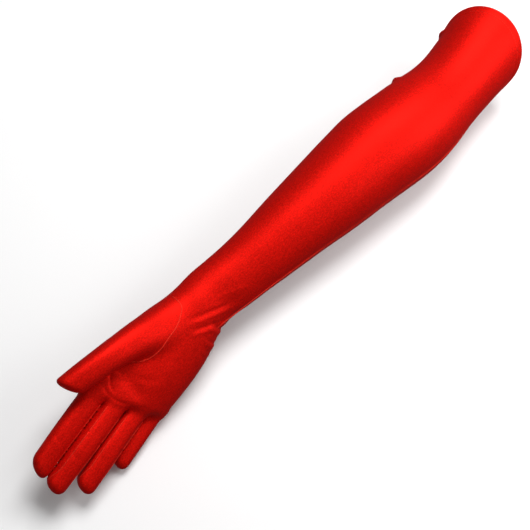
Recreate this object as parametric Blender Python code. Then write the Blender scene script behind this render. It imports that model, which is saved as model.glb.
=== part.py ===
"""Opera glove, right hand, lying palm up as if an arm still filled it.

Long axis along X with the fingertips at -X and the arm opening at +X, thumb side toward +Y,
resting on z = 0. Lengths in the tables are millimetres, the scene is in metres.
"""

import math

import bmesh
import bpy
import numpy as np
from mathutils import Matrix, Vector

# ---------------------------------------------------------------- driving dimensions (mm)
WALL = 1.1  # shell thickness standing in for the cloth
SKIN = 0.75  # thickness of the narrow trim pieces
GAP = 0.3  # clearance between neighbouring pieces
LIFT = 0.8  # how far the hem band stands proud of the sleeve, which it holds off the table
ROLL = math.radians(30.0)  # how far the palm is rolled over, toward -Y
HEM_DEPTH = 9.0  # turned hem
FOURCHETTE = math.radians(31.0)  # half angle that a fourchette takes of a finger's side

# Sleeve, wrist to arm opening: x, y, z of the centre, half width, half thickness.
SLEEVE = (
    (-64.0, 3.8, 36.6, 24.6, 19.5),
    (-45.0, 1.5, 36.8, 25.3, 20.6),
    (-27.0, -0.6, 37.1, 26.0, 22.2),
    (-8.0, -2.5, 37.4, 27.4, 24.8),
    (30.0, -5.2, 38.0, 31.2, 30.6),
    (67.0, -8.4, 38.6, 35.4, 35.2),
    (106.0, -11.2, 39.2, 38.8, 38.8),
    (126.0, -13.0, 39.2, 40.6, 40.4),
    (146.0, -15.8, 39.0, 41.1, 40.6),
    (166.0, -17.9, 38.4, 40.1, 39.8),
    (186.0, -18.6, 37.2, 37.9, 38.3),
    (206.0, -18.8, 35.8, 34.8, 36.2),
    (218.0, -18.6, 35.2, 34.0, 35.6),
    (246.0, -16.9, 35.2, 35.0, 36.0),
    (268.0, -14.8, 36.0, 37.2, 37.2),
    (300.0, -12.8, 36.0, 37.5, 37.4),
)
# Hand frame: u toward the fingertips (-X), v toward the thumb, w out of the palm.
HAND_ORIGIN = (-1.3, 2.8, 36.1)
# Palm: u, centre v, centre w, half width, half thickness, drop of the little-finger side.
PALM = (
    (60.0, 1.1, 0.0, 24.6, 19.5, 0.0),
    (74.0, 0.6, 0.0, 24.9, 19.0, 0.5),
    (92.0, -2.6, 0.0, 28.6, 18.4, 2.0),
    (112.0, -4.8, 0.0, 31.6, 17.2, 4.5),
    (137.0, -7.4, 0.0, 32.8, 15.2, 8.0),
    (160.0, -9.4, 0.0, 32.9, 13.0, 11.5),
    (184.0, -10.0, 0.0, 32.6, 11.0, 14.0),
)
# Each finger: rows of u, v, w of the centre, half width, half thickness; its two hinge stations;
# then whether it has a fourchette on its little-finger side and on its thumb side.
FINGERS = {
    "index": (
        ((168.0, 15.0, 0.0, 9.3, 9.2), (181.0, 13.2, 0.3, 9.3, 9.0),
         (216.0, 8.3, 1.5, 9.3, 8.4), (257.0, 1.5, -1.0, 8.5, 7.4)),
        (188.0, 223.0), True, False,
    ),
    "middle": (
        ((162.0, -3.6, 0.0, 9.0, 9.2), (181.0, -6.0, 0.3, 9.0, 9.0),
         (219.0, -11.2, 2.0, 8.9, 8.5), (260.0, -17.3, 0.0, 8.3, 7.4)),
        (184.0, 223.0), True, True,
    ),
    "ring": (
        ((156.0, -21.0, -2.6, 8.1, 8.8), (174.0, -23.1, -2.5, 8.1, 8.6),
         (208.0, -28.3, -1.0, 8.6, 8.1), (243.0, -34.4, -2.0, 8.1, 7.2)),
        (178.0, 211.0), True, True,
    ),
    "little": (
        ((150.0, -34.5, -10.5, 6.9, 7.6), (164.0, -36.5, -10.5, 6.8, 7.3),
         (190.0, -40.7, -9.5, 6.8, 6.9), (214.0, -45.0, -9.45, 6.1, 5.95)),
        (172.0, 194.0), False, True,
    ),
}
PALM_END = (176.5, 0.345)  # u of the palm's far edge at v = 0, and how it leans with v
FLEX_HALF, FLEX_LEAN = 3.2, 0.26  # half length of a flex ring, and how it grows palmward
# Thumb: rows as for a finger, from its set-in base to the tip.
THUMB = (
    (120.0, 17.5, 9.0, 14.5, 13.5), (140.0, 23.5, 13.5, 12.6, 12.2),
    (158.0, 28.0, 16.5, 11.2, 11.0), (178.0, 31.4, 17.0, 10.4, 10.0), (203.0, 34.8, 15.5, 9.2, 8.4),
)
THUMB_HINGES = (157.0, 181.0)
THUMB_HOLE = (84.0, 154.5)  # reach of the thumb opening along u
WRIST_X, ELBOW = -64.0, (190.0, -18.7)
HEM_PLANE = ((268.0, -15.0, 36.0), (1.0, 0.1, -0.5))  # point on the arm opening, its normal
ORIGIN = (12.986, -12.275, 0.0)  # middle of the base of the glove's box, which the part stands on

COLOURS = {
    "satin_red": (0.62, 0.006, 0.004, 1.0),
    "satin_red_inset": (0.55, 0.005, 0.004, 1.0),
    "satin_red_stretch": (0.50, 0.005, 0.004, 1.0),
    "thread_red": (0.40, 0.004, 0.003, 1.0),
}

# ---------------------------------------------------------------- frames
E_U = np.array((-1.0, 0.0, 0.0))
E_V = np.array((0.0, math.cos(ROLL), math.sin(ROLL)))
E_W = np.array((0.0, -math.sin(ROLL), math.cos(ROLL)))


def hand(u, v, w):
    return np.array(HAND_ORIGIN) + u * E_U + v * E_V + w * E_W


def unit(vector):
    return vector / np.linalg.norm(vector)


def smooth(rows):
    """Cubic through the rows, over their first column; carries on straight past the ends."""
    table = np.array(rows, float)
    knots, values = table[:, 0], table[:, 1:]
    slopes = np.gradient(values, knots, axis=0)

    def at(t):
        if t <= knots[0] or t >= knots[-1]:
            end = 0 if t <= knots[0] else -1
            return values[end] + slopes[end] * (t - knots[end])
        i = int(np.searchsorted(knots, t)) - 1
        h = knots[i + 1] - knots[i]
        x = (t - knots[i]) / h
        return (
            (1 + 2 * x) * (1 - x) ** 2 * values[i]
            + x * (1 - x) ** 2 * h * slopes[i]
            + x * x * (3 - 2 * x) * values[i + 1]
            + x * x * (x - 1) * h * slopes[i + 1]
        )

    return at


# ---------------------------------------------------------------- surfaces
class Tube:
    """A hollow limb: centre line, oval section, and an optional closed, rounded end."""

    def __init__(self, rows, in_hand, end=None, nose=9.5, floor=False):
        self.rows, self.in_hand, self.end, self.nose = smooth(rows), in_hand, end, nose
        self.floor = floor

    def centre(self, t):
        row = self.rows(t)
        return hand(t, row[0], row[1]) if self.in_hand else np.array((t, row[0], row[1]))

    def frame(self, t):
        """Centre, the direction of growing t, thumb side and palm side."""
        along = unit(self.centre(t + 0.5) - self.centre(t - 0.5))
        palm = unit(E_W - E_W.dot(along) * along)
        thumb = unit(E_V - E_V.dot(along) * along - E_V.dot(palm) * palm)
        return self.centre(t), along, thumb, palm

    def point(self, t, angle, inset=0.0, side=0.0):
        """The surface at station t; `side` keeps a rounded end's halves a gap apart."""
        taper, reach = 1.0, t
        if self.end is not None and t > self.end - self.nose:
            turn = min((t - self.end + self.nose) / self.nose, 1.0) * math.pi / 2
            reach = self.end - self.nose + (self.nose - inset) * math.sin(turn)
            taper = math.cos(turn) if turn < math.pi / 2 - 1e-6 else 0.0
        middle, _, thumb, palm = self.frame(reach)
        half_width, half_thick = self.rows(reach)[-2:]
        x = (half_width - inset) * taper * math.cos(angle)
        y = (half_thick - inset) * taper * math.sin(angle)
        if side:
            y = side * max(side * y, GAP / 2)
        spot = middle + x * thumb + y * palm
        if self.floor:
            spot[2] = max(spot[2], LIFT + inset)
        return spot

    def plane(self, t, lean=0.0):
        """Plane across the limb at station t, leaning forward by `lean` per mm of palm side."""
        middle, along, _, palm = self.frame(t)
        return middle, unit(along - lean * palm)

    def station(self, cut, angle, inset):
        """The station at which the surface meets a plane."""
        spot, normal = (np.array(part, float) for part in cut)
        t = -spot[0] + HAND_ORIGIN[0] if self.in_hand else spot[0]
        for _ in range(5):
            here = self.point(t, angle, inset)
            step = (self.point(t + 0.2, angle, inset) - here) / 0.2
            t -= (here - spot).dot(normal) / step.dot(normal)
        return t


class Palm:
    """The hand from wrist to finger roots: a flat oval whose little-finger side drops."""

    rows = staticmethod(smooth(PALM))

    def point(self, u, angle, inset=0.0):
        v, w, half_width, half_thick, drop = self.rows(u)
        c, s = math.cos(angle), math.sin(angle)
        x = (half_width - inset) * math.copysign(abs(c) ** 0.86, c)
        y = (half_thick - inset) * math.copysign(abs(s) ** 0.86, s)
        low = max(-x / half_width, 0.0)
        return hand(u, v + x, w + y - drop * low**2 * (1.0 - 0.25 * low))

    def station(self, cut, angle, inset):
        spot, normal = (np.array(part, float) for part in cut)
        u = -spot[0] + HAND_ORIGIN[0]
        for _ in range(5):
            here = self.point(u, angle, inset)
            step = (self.point(u + 0.2, angle, inset) - here) / 0.2
            u -= (here - spot).dot(normal) / step.dot(normal)
        return u


def shifted(cut, distance):
    return np.array(cut[0], float) + unit(np.array(cut[1], float)) * distance, cut[1]


# ---------------------------------------------------------------- solids
def material(slot):
    found = bpy.data.materials.get(slot)
    if found:
        return found
    made = bpy.data.materials.new(slot)
    made.use_nodes = True
    shader = made.node_tree.nodes["Principled BSDF"]
    shader.inputs["Base Color"].default_value = COLOURS[slot]
    shader.inputs["Roughness"].default_value = 0.42
    shader.inputs["Metallic"].default_value = 0.25
    made.diffuse_color = COLOURS[slot]
    return made


def solid(name, outer, inner, ring, slot):
    """A shell between two grids of points; `ring` when its columns close on themselves."""
    rows, cols = len(outer), len(outer[0])
    shape = bmesh.new()
    grids = [
        [[shape.verts.new((spot - np.array(ORIGIN)) * 0.001) for spot in row] for row in grid]
        for grid in (outer, inner)
    ]
    front, back = grids
    steps = range(cols if ring else cols - 1)
    for i in range(rows - 1):
        for j in steps:
            k = (j + 1) % cols
            shape.faces.new((front[i][j], front[i][k], front[i + 1][k], front[i + 1][j]))
            shape.faces.new((back[i][j], back[i + 1][j], back[i + 1][k], back[i][k]))
    for j in steps:
        k = (j + 1) % cols
        shape.faces.new((front[0][j], back[0][j], back[0][k], front[0][k]))
        shape.faces.new((front[-1][j], front[-1][k], back[-1][k], back[-1][j]))
    if not ring:
        for i in range(rows - 1):
            shape.faces.new((front[i][0], front[i + 1][0], back[i + 1][0], back[i][0]))
            shape.faces.new((front[i][-1], back[i][-1], back[i + 1][-1], front[i + 1][-1]))
    bmesh.ops.remove_doubles(shape, verts=shape.verts, dist=2e-6)
    bmesh.ops.recalc_face_normals(shape, faces=shape.faces)
    if shape.calc_volume(signed=True) < 0:
        bmesh.ops.reverse_faces(shape, faces=shape.faces)
    mesh = bpy.data.meshes.new(name)
    shape.to_mesh(mesh)
    shape.free()
    mesh.materials.append(material(slot))
    for face in mesh.polygons:
        face.use_smooth = True
    made = bpy.data.objects.new(name, mesh)
    bpy.context.scene.collection.objects.link(made)
    return made


def turned(cols, lo=0.0, hi=2 * math.pi, ring=True):
    return [lo + (hi - lo) * j / (cols if ring else cols - 1) for j in range(cols)]


def band(name, tube, first, last, rows, cols, slot, inset=0.0, wall=WALL, span=None, side=0.0):
    """Part of a limb between two planes: all round, or the span of angles at each row."""
    parts = [i / rows for i in range(rows + 1)] if isinstance(rows, int) else rows
    grids = []
    for depth in (inset, inset + wall):
        grid = []
        for part in parts:
            angles = turned(cols) if span is None else turned(cols, *span(part), ring=False)
            row = []
            for angle in angles:
                a = tube.station(first, angle, depth)
                b = tube.end if last is None else tube.station(last, angle, depth)
                row.append(tube.point(a + (b - a) * part, angle, depth, *((side,) if side else ())))
            grid.append(row)
        grids.append(grid)
    return solid(name, grids[0], grids[1], span is None, slot)


def rib(name, path, across, out, width, height, slot):
    """A narrow raised strip along a path that is given with its sideways and outward directions."""
    low, high = [], []
    for spot, side, up in zip(path, across, out):
        low.append([spot - side * width / 2, spot + side * width / 2])
        high.append([spot - side * width / 2 + up * height, spot + side * width / 2 + up * height])
    return solid(name, high, low, False, slot)


# ---------------------------------------------------------------- the pieces
for item in list(bpy.data.objects):
    bpy.data.objects.remove(item, do_unlink=True)

sleeve = Tube(SLEEVE, False, floor=True)
palm = Palm()

# Planes across the limb. Each flex ring lies between two of them.
elbow_low = (np.array((ELBOW[0] - 13.8, ELBOW[1], 0.0)), unit(np.array((1.0, 0.264, 0.0))))
elbow_high = (np.array((ELBOW[0] + 13.8, ELBOW[1], 0.0)), unit(np.array((1.0, -0.264, 0.0))))
wrist_arm = (np.array((WRIST_X + 9.3, 0.0, 37.5)), unit(np.array((1.0, 0.0, 0.0))))
wrist_hand = (np.array((WRIST_X - 9.3, 0.0, 37.5)), unit(np.array((1.0, 0.0, 0.0))))
hem_edge = (np.array(HEM_PLANE[0]), unit(np.array(HEM_PLANE[1])))
hem_line = shifted(hem_edge, -HEM_DEPTH)
knuckles = (hand(PALM_END[0], 0.0, 0.0), unit(E_U - PALM_END[1] * E_V))

band("forearm_trank", sleeve, wrist_arm, elbow_low, 9, 28, "satin_red")
band("elbow_flex", sleeve, shifted(elbow_low, GAP), shifted(elbow_high, -GAP), 4, 28,
     "satin_red_stretch")
band("upper_arm_trank", sleeve, elbow_high, shifted(hem_line, -GAP), 4, 28, "satin_red")
band("hem_band", sleeve, hem_line, hem_edge, 1, 28, "satin_red", inset=-LIFT, wall=WALL + LIFT)
band("wrist_flex", sleeve, shifted(wrist_hand, GAP), shifted(wrist_arm, -GAP), 2, 24,
     "satin_red_stretch")
band("hem_stitch", sleeve, shifted(hem_line, -GAP - 1.0), shifted(hem_line, -GAP), 1, 28,
     "thread_red", inset=-GAP - 0.3, wall=0.3)


def side_seam(name, first, last, rows):
    """The sleeve's long seam, on the little-finger side."""
    path, across, out = [], [], []
    for i in range(rows + 1):
        angle = math.pi
        a, b = (sleeve.station(cut, angle, 0.0) for cut in (first, last))
        t = a + (b - a) * i / rows
        _, along, thumb, palm_side = sleeve.frame(t)
        path.append(sleeve.point(t, angle, -GAP))
        across.append(palm_side)
        out.append(-thumb)
    return rib(name, path, across, out, 2.2, SKIN, "thread_red")


side_seam("forearm_side_seam", wrist_arm, shifted(elbow_low, -GAP), 9)
side_seam("upper_arm_side_seam", elbow_high, shifted(hem_line, -GAP - 1.6), 3)


# The trank over the hand: its palm half and its back half, with the thumb opening between.
def hole_edges(u):
    """Angles at which the thumb opening cuts the palm half and the back half."""
    lo, hi = THUMB_HOLE
    if not lo < u < hi:
        return 0.006, -0.006
    x = (u - lo) / (hi - lo)
    swell = math.sqrt(max(4 * x * (1 - x), 0.0))
    return 0.006 + 1.02 * swell * (1.0 - 0.25 * x), -0.006 - 0.62 * swell * (1.0 - 0.2 * x)


wrist_u = HAND_ORIGIN[0] - wrist_hand[0][0]
PALM_ROWS = (0.0, 0.09, 0.11, 0.14, 0.19, 0.26, 0.35, 0.44, 0.53, 0.62, 0.68, 0.72, 0.745, 0.76,
             0.87, 1.0)


def trank_half(name, palmar, cols):
    grids = []
    for depth in (0.0, WALL):
        grid = []
        for part in PALM_ROWS:
            first = palm.station(wrist_hand, 0.0, depth)
            rough = first + (PALM_END[0] + 4.0 - first) * part
            edge = hole_edges(rough)
            seam = 0.006
            angles = (turned(cols, edge[0], math.pi - seam, False) if palmar
                      else turned(cols, math.pi + seam, 2 * math.pi + edge[1], False))
            row = []
            for angle in angles:
                last = palm.station(knuckles, angle, depth)
                row.append(palm.point(first + (last - first) * part, angle, depth))
            grid.append(row)
        grids.append(grid)
    return solid(name, grids[0], grids[1], False, "satin_red")


trank_half("hand_trank_palm", True, 11)
trank_half("hand_trank_back", False, 11)


def outline(phi, shrink):
    """The thumb opening's edge: angle phi runs from its far end round the palm side."""
    lo, hi = THUMB_HOLE
    u = (lo + hi) / 2 + ((hi - lo) / 2 - shrink) * math.cos(phi)
    palmar, dorsal = hole_edges(u)
    slack = shrink / 28.0
    angle = max(palmar - slack, 0.0) if math.sin(phi) >= 0 else min(dorsal + 1.6 * slack, 0.0)
    return u, angle


def thumb_heel(name, tube, cut, rows, cols):
    """The thumb piece's set-in base, from the opening in the trank to the thumb's first joint.

    Each rib leaves the opening's edge and turns into the thumb's own direction; the wall is laid
    off square to the ribs, toward the inside.
    """
    outer = np.zeros((rows + 1, cols, 3))
    rim = np.zeros((cols, 3))
    for j in range(cols):
        phi = 2 * math.pi * (j + 0.5) / cols
        web = (1.0 + math.cos(phi)) / 2
        u, angle = outline(phi, 2.5 + 3.2 * web)
        start = palm.point(u, angle, 0.0)
        rise = unit(start - palm.point(u, angle, 1.0))
        turn = math.pi - phi
        reach = tube.station(cut, turn, 0.0)
        end = tube.point(reach, turn, 0.0)
        rim[j] = tube.point(tube.station(cut, turn, WALL), turn, WALL)
        along = tube.frame(reach)[1]
        length = np.linalg.norm(end - start)
        bulge = unit((start + end) / 2 - hand(126.0, 13.0, 4.0)) * 0.05 * length
        first = start + (0.3 - 0.28 * web) * (end - start) + bulge + 0.40 * web * length * rise
        second = end - (0.3 - 0.2 * web) * length * along
        for i in range(rows + 1):
            t = i / rows
            outer[i, j] = ((1 - t) ** 3 * start + 3 * t * (1 - t) ** 2 * first
                           + 3 * t * t * (1 - t) * second + t ** 3 * end)
    square = np.cross(np.gradient(outer, axis=0), np.roll(outer, -1, 1) - np.roll(outer, 1, 1))
    square /= np.linalg.norm(square, axis=2, keepdims=True)
    if ((outer[-1] - rim) * square[-1]).sum() < 0:
        square = -square
    inner = outer - WALL * square
    inner[-1] = rim
    return solid(name, [list(row) for row in outer], [list(row) for row in inner], True,
                 "satin_red_inset")


def thumb_seam(name, cols):
    """The raised seam that holds the thumb piece in its opening, ending short of the web."""
    inner, outer = [], []
    loops = [[], [], [], []]
    for j in range(cols):
        phi = 0.6 + (2 * math.pi - 0.9) * j / (cols - 1)
        for loop, (shrink, lift) in zip(loops, ((-1.0, GAP), (-2.6, GAP), (-2.6, 0.9), (-1.0, 0.9))):
            u, angle = outline(phi, shrink)
            loop.append(palm.point(u, angle, -lift))
    inner, outer = [loops[0], loops[1]], [loops[3], loops[2]]
    return solid(name, outer, inner, False, "thread_red")


thumb = Tube(THUMB, True, end=THUMB[-1][0], nose=10.5)


def side_plane(tube, t, lean):
    """As Tube.plane, but leaning per mm of thumb side."""
    middle, along, thumb_side, _ = tube.frame(t)
    return middle, unit(along - lean * thumb_side)


first, second = THUMB_HINGES
thumb_low = side_plane(thumb, first - 3.3, -0.19)
thumb_high = side_plane(thumb, first + 3.3, 0.19)
joint_low = thumb.plane(second - FLEX_HALF, -0.2)
joint_high = thumb.plane(second + FLEX_HALF, 0.2)
SEAM = 0.018
TIP_ROWS = (0.0, 0.22, 0.44, 0.58, 0.72, 0.85, 0.94, 1.0)


def halves(prefix, tube, first_cut, last_cut, rows, cols, slot):
    """The palm-side and back-side strips of a piece that has only side seams."""
    front = lambda part: (SEAM, math.pi - SEAM)
    back = lambda part: (math.pi + SEAM, 2 * math.pi - SEAM)
    band(prefix + "_front", tube, first_cut, last_cut, rows, cols, slot, span=front, side=1.0)
    band(prefix + "_back", tube, first_cut, last_cut, rows, cols, slot, span=back, side=-1.0)


thumb_heel("thumb_heel", thumb, shifted(thumb_low, -GAP), 5, 24)
thumb_seam("thumb_seam", 36)
band("thumb_knuckle_flex", thumb, thumb_low, thumb_high, 2, 16, "satin_red_stretch")
halves("thumb_base", thumb, shifted(thumb_high, GAP), shifted(joint_low, -GAP), 2, 9,
       "satin_red_inset")
band("thumb_joint_flex", thumb, joint_low, joint_high, 2, 16, "satin_red_stretch")
halves("thumb_tip", thumb, shifted(joint_high, GAP), None, TIP_ROWS, 9, "satin_red_inset")


# ---------------------------------------------------------------- fingers
def side_angle(part, tip):
    """Half the angle that a fourchette covers; it narrows to a point near the fingertip."""
    return FOURCHETTE * math.sqrt(max(1.0 - part / TIP_ROWS[3], 0.0)) if tip else FOURCHETTE


def strips(prefix, tube, first_cut, last_cut, rows, tip, ulnar, radial):
    """The strips that make one rigid length of a finger."""
    def edge(part, has):
        return (side_angle(part, tip) if has else 0.0) + SEAM

    def front(part):
        return edge(part, radial), math.pi - edge(part, ulnar)

    def back(part):
        return math.pi + edge(part, ulnar), 2 * math.pi - edge(part, radial)

    band(prefix + "_front", tube, first_cut, last_cut, rows, 6, "satin_red", span=front, side=1.0)
    band(prefix + "_back", tube, first_cut, last_cut, rows, 6, "satin_red", span=back, side=-1.0)
    inner_rows = [part for part in rows if part <= TIP_ROWS[3]] if tip else rows
    for has, at, where in ((ulnar, math.pi, "outer"), (radial, 0.0, "inner")):
        if not has:
            continue

        def side(part, at=at):
            reach = max(side_angle(part, tip) - SEAM, 0.0)
            return at - reach, at + reach

        full = None if tip else last_cut
        strip(prefix + "_fourchette_" + where, tube, first_cut, full, inner_rows, side)


def strip(name, tube, first_cut, last_cut, parts, span):
    """A fourchette's length along one side of a finger."""
    grids = []
    for depth in (0.0, WALL):
        grid = []
        for part in parts:
            row = []
            for angle in turned(4, *span(part), ring=False):
                a = tube.station(first_cut, angle, depth)
                b = tube.end if last_cut is None else tube.station(last_cut, angle, depth)
                row.append(tube.point(a + (b - a) * part, angle, depth))
            grid.append(row)
        grids.append(grid)
    return solid(name, grids[0], grids[1], False, "satin_red_inset")


for finger, (rows, (knuckle, middle_joint), ulnar, radial) in FINGERS.items():
    tube = Tube(rows, True, end=rows[-1][0])
    low_1 = shifted(knuckles, GAP)
    high_1 = tube.plane(knuckle + FLEX_HALF, FLEX_LEAN)
    low_2 = tube.plane(middle_joint - FLEX_HALF, -FLEX_LEAN)
    high_2 = tube.plane(middle_joint + FLEX_HALF, FLEX_LEAN)
    band(finger + "_knuckle_flex", tube, low_1, high_1, 2, 16, "satin_red_stretch")
    strips(finger + "_base", tube, shifted(high_1, GAP), shifted(low_2, -GAP), (0.0, 0.5, 1.0),
           False, ulnar, radial)
    band(finger + "_joint_flex", tube, low_2, high_2, 2, 16, "satin_red_stretch")
    strips(finger + "_tip", tube, shifted(high_2, GAP), None, TIP_ROWS, True, ulnar, radial)


# ---------------------------------------------------------------- what moves with what
def pivot(name, spot, parent):
    """An empty on a joint's axis, which carries the pieces that turn about it."""
    made = bpy.data.objects.new(name, None)
    made.empty_display_size = 0.01
    made.location = Vector((np.array(spot) - np.array(ORIGIN)) * 0.001)
    bpy.context.scene.collection.objects.link(made)
    carry(made, parent)
    return made


def carry(item, parent):
    if parent is not None:
        item.parent = parent
        item.matrix_parent_inverse = Matrix.Translation(-place[parent.name])
    if item.type == "EMPTY":
        place[item.name] = item.location.copy()


place = {}
pivots = {"forearm": pivot("elbow_pivot", (ELBOW[0], ELBOW[1], 37.0), None)}
pivots["hand"] = pivot("wrist_pivot", sleeve.centre(WRIST_X), pivots["forearm"])
limbs = {"thumb": (thumb, THUMB_HINGES)}
for finger, (rows, hinges, _, _) in FINGERS.items():
    limbs[finger] = (Tube(rows, True, end=rows[-1][0]), hinges)
for limb, (tube, (near, far)) in limbs.items():
    base = pivot(limb + "_base_pivot", tube.centre(near), pivots["hand"])
    pivots[limb + "_base"] = base
    pivots[limb + "_tip"] = pivot(limb + "_tip_pivot", tube.centre(far), base)

for item in [found for found in bpy.data.objects if found.type == "MESH"]:
    limb, length = item.name.split("_")[:2]
    if limb in ("upper", "hem", "elbow"):
        continue
    if limb in ("forearm", "wrist"):
        carry(item, pivots["forearm"])
    elif limb == "hand" or length in ("knuckle", "heel", "seam"):
        carry(item, pivots["hand"])
    else:
        carry(item, pivots[limb + ("_tip" if length == "tip" else "_base")])
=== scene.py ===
"""Opera glove for the right hand in red stretch satin, lying palm up as if an arm still filled it.

Sleeve, hand and fingers are one smooth surface, found as the zero level of a distance field, then
folded, cut at the hem and parted at each joint into pieces. The thumb is a tube of its own, over a
stub of the hand's cloth. Lengths are millimetres in the glove's own frame until the meshes are
made.
"""
import math

import bpy
import numpy as np
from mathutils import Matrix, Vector


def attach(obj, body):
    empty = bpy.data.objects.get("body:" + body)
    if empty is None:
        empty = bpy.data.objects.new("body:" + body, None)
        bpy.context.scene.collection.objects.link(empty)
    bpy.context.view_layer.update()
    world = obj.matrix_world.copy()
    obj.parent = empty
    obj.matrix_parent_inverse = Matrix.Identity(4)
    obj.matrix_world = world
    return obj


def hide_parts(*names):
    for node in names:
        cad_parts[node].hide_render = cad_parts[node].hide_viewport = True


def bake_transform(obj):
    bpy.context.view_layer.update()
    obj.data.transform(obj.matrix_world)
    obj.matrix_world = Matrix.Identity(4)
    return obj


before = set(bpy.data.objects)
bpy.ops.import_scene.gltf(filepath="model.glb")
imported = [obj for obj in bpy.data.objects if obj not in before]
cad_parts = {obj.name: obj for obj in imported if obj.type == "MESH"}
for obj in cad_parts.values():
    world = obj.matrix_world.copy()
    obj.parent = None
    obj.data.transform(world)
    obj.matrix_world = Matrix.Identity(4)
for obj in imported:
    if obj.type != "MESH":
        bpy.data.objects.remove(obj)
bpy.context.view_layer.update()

# ---------------------------------------------------------------- the glove's frame (mm)
ORIGIN = np.array((12.986, -12.275, 0.0))  # middle of the base of the CAD model's box
HAND = np.array((-1.3, 2.8, 36.1))  # where the hand's own frame starts; its u runs to the fingertips, -X
ROLL = math.radians(30.0)  # how far the palm is rolled over, toward -Y
E_V = np.array((0.0, math.cos(ROLL), math.sin(ROLL)))  # across the palm, toward the thumb
E_W = np.array((0.0, -math.sin(ROLL), math.cos(ROLL)))  # out of the palm
LIFT = 0.8  # least height of the sleeve's cloth; the turned hem lies lower by its own thickness
UNDER_GAP = 0.02  # how much over LIFT the hem and the side seam take the cloth to be
# the arm opening: a point on its plane, and the direction out of it
HEM_POINT, HEM_NORMAL = np.array((268.0, -15.0, 36.0)), np.array((1.0, 0.1, -0.5))
HEM_NORMAL = HEM_NORMAL / np.linalg.norm(HEM_NORMAL)
HEM_DEPTH = 7.5  # how wide the turning is

# Sleeve: x, y, z of the centre, half width, half thickness.
SLEEVE = (
    (-45.0, 1.5, 36.8, 25.3, 20.6), (-27.0, -0.6, 37.1, 26.0, 22.2), (-8.0, -2.5, 37.4, 27.4, 24.8),
    (30.0, -5.2, 38.0, 31.2, 30.6), (67.0, -8.4, 38.6, 35.4, 35.2), (106.0, -11.2, 39.2, 38.8, 38.8),
    (126.0, -13.0, 39.2, 40.6, 40.4), (146.0, -15.8, 39.0, 41.1, 40.6),
    (166.0, -17.9, 38.4, 40.1, 39.8), (186.0, -18.6, 37.2, 37.9, 38.3),
    (206.0, -18.8, 35.8, 34.8, 36.2), (218.0, -18.6, 35.2, 34.0, 35.6),
    (246.0, -16.9, 35.2, 35.0, 36.0), (268.0, -14.8, 36.0, 37.2, 37.2),
    (310.0, -12.3, 36.0, 37.5, 37.4),
)
# Palm: u, v, w, half width, half thickness, drop of the little-finger side, squareness.
PALM = (
    (60.0, 1.1, 0.0, 24.6, 19.5, 0.0, 2.0), (74.0, 0.6, 0.0, 24.9, 19.0, 0.5, 2.05),
    (92.0, -2.6, 0.0, 28.6, 18.0, 2.0, 2.1), (112.0, -4.8, 0.0, 31.6, 16.6, 4.5, 2.2),
    (137.0, -7.4, 0.0, 32.8, 14.6, 8.0, 2.3), (160.0, -9.4, 0.0, 32.9, 12.2, 11.5, 2.4),
    (190.0, -10.0, 0.0, 32.6, 10.0, 14.0, 2.5),
)
# Fingers from index to little: u, v, w of the centre, half width, half thickness.
FINGERS = {
    "index": ((150.0, 17.4, -1.0, 9.3, 9.2), (181.0, 13.2, 0.3, 9.3, 9.0),
              (216.0, 8.4, 1.5, 9.1, 8.4), (257.0, 1.3, -1.0, 8.3, 7.3)),
    "middle": ((150.0, -2.0, 0.0, 9.0, 9.2), (181.0, -6.0, 0.3, 8.9, 9.0),
               (219.0, -11.2, 2.0, 8.9, 8.5), (260.0, -17.1, 0.0, 8.2, 7.3)),
    "ring": ((145.0, -19.4, -2.6, 8.1, 8.8), (174.0, -23.1, -2.5, 8.3, 8.6),
             (208.0, -28.3, -1.0, 8.8, 8.1), (243.0, -34.4, -2.0, 8.2, 7.3)),
    "little": ((138.0, -32.6, -10.0, 7.0, 7.6), (164.0, -36.3, -10.5, 7.2, 7.3),
               (190.0, -40.5, -9.5, 7.2, 6.9), (214.0, -45.0, -9.5, 6.6, 6.2)),
}
# u of each finger's two hinges
HINGES = {"index": (188.0, 223.0), "middle": (184.0, 223.0), "ring": (178.0, 211.0),
          "little": (172.0, 194.0), "thumb": (157.0, 181.0)}
# The thumb, in the same columns as a finger.
THUMB = (
    (84.0, 9.0, 0.0, 10.0, 10.0), (100.0, 12.5, 3.5, 13.6, 12.6), (120.0, 17.5, 8.6, 14.5, 13.5),
    (140.0, 23.5, 13.2, 12.6, 12.2), (158.0, 28.0, 16.3, 11.2, 11.0),
    (178.0, 31.4, 17.0, 10.6, 10.0), (203.0, 34.8, 15.5, 9.6, 8.6),
)
CROTCH = ((176.0, 0.0), (169.0, -0.16), (159.5, -0.59))  # u where two fingers part, lean with w
SPREAD, ZONE = 3.0, 5.2  # extra room between fingers while meshing, and the width it is taken from
SPREAD_START = 14.0  # how far before the crotch the extra room begins
CELL = 1.15  # size of the meshing grid


def ramp(x):
    """Smooth step from 0 to 1."""
    x = np.clip(x, 0.0, 1.0)
    return x * x * (3.0 - 2.0 * x)


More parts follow.
